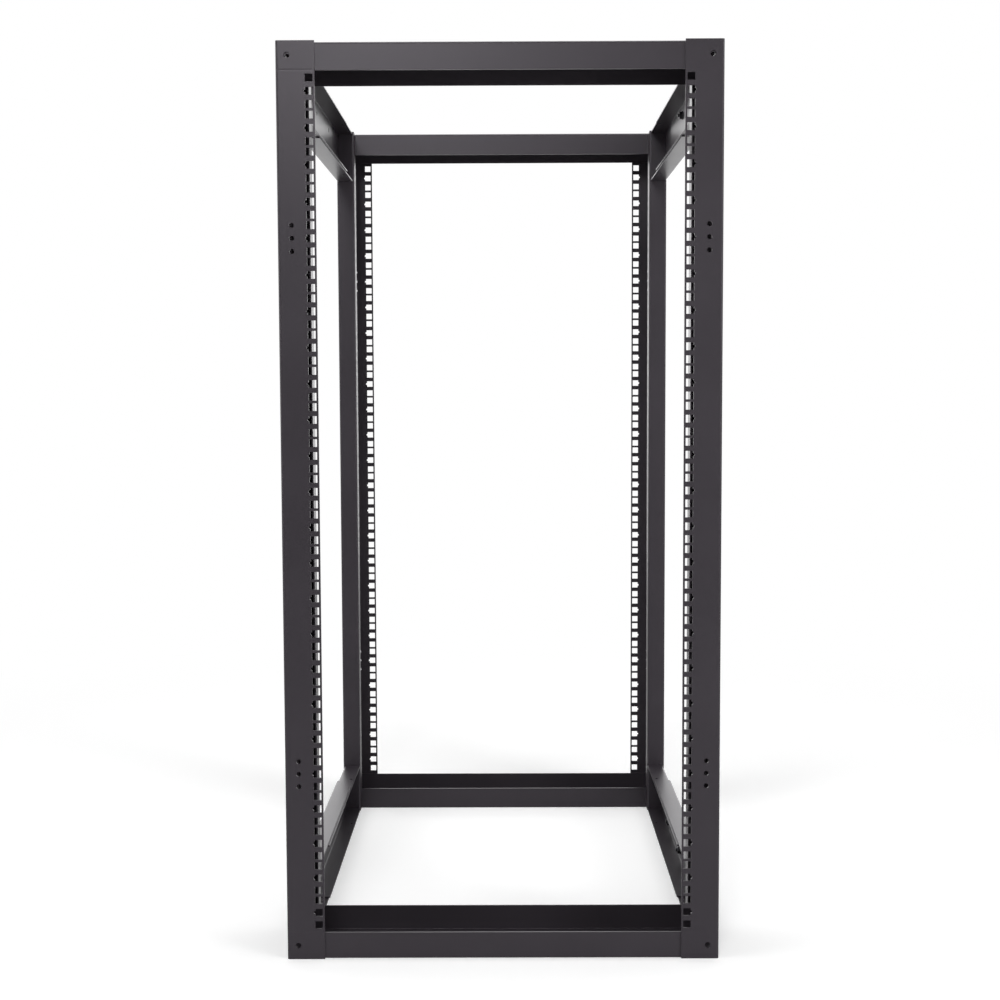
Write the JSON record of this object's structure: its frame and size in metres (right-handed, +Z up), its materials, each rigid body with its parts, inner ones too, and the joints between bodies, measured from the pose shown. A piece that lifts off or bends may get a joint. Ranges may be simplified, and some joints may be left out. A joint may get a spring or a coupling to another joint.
{
  "type": "four post open frame rack",
  "caption": "Free-standing open frame rack: four folded posts with square mounting holes, joined by channel crossbeams and telescoping side rails.",
  "frame": {"origin": "on the floor, below the middle of the rack's width and depth", "axes": "+X to the rack's right as seen from the front, +Y from the front to the back, +Z up"},
  "size_m": [0.546, 0.8128, 1.143],
  "materials": {
    "powder_coated_steel": "fine satin black powder coat"
  },
  "bodies": {
    "root": {"post_front_left": "powder_coated_steel", "post_front_right": "powder_coated_steel", "post_rear_left": "powder_coated_steel", "post_rear_right": "powder_coated_steel", "crossbeam_front_bottom": "powder_coated_steel", "crossbeam_front_top": "powder_coated_steel", "crossbeam_rear_bottom": "powder_coated_steel", "crossbeam_rear_top": "powder_coated_steel", "side_rail_left_top_front": "powder_coated_steel", "side_rail_left_top_rear": "powder_coated_steel", "side_rail_left_bottom_front": "powder_coated_steel", "side_rail_left_bottom_rear": "powder_coated_steel", "side_rail_right_top_front": "powder_coated_steel", "side_rail_right_top_rear": "powder_coated_steel", "side_rail_right_bottom_front": "powder_coated_steel", "side_rail_right_bottom_rear": "powder_coated_steel"}
  },
  "joints": []
}
